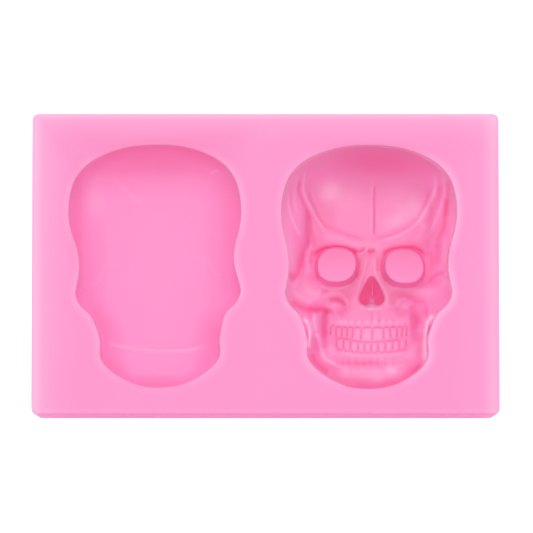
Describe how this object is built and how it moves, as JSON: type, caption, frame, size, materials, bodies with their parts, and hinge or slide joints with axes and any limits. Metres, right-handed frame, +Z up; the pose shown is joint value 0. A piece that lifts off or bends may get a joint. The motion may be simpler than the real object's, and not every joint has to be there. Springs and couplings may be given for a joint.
{
  "type": "silicone skull mould",
  "caption": "Flat pink silicone block with open cavities side by side that cast the plain back and the detailed face of a small skull.",
  "frame": {"origin": "middle of the underside", "axes": "+X along the block's length, towards the face cavity; +Y across it, towards the crowns of both skulls; +Z up, out of the cavities"},
  "size_m": [0.116, 0.075, 0.024],
  "materials": {
    "silicone": "satin"
  },
  "bodies": {
    "root": {"face_mould_half": "silicone", "back_mould_half": "silicone", "left_eye_post": "silicone", "right_eye_post": "silicone", "nose_boss": "silicone"}
  },
  "joints": []
}
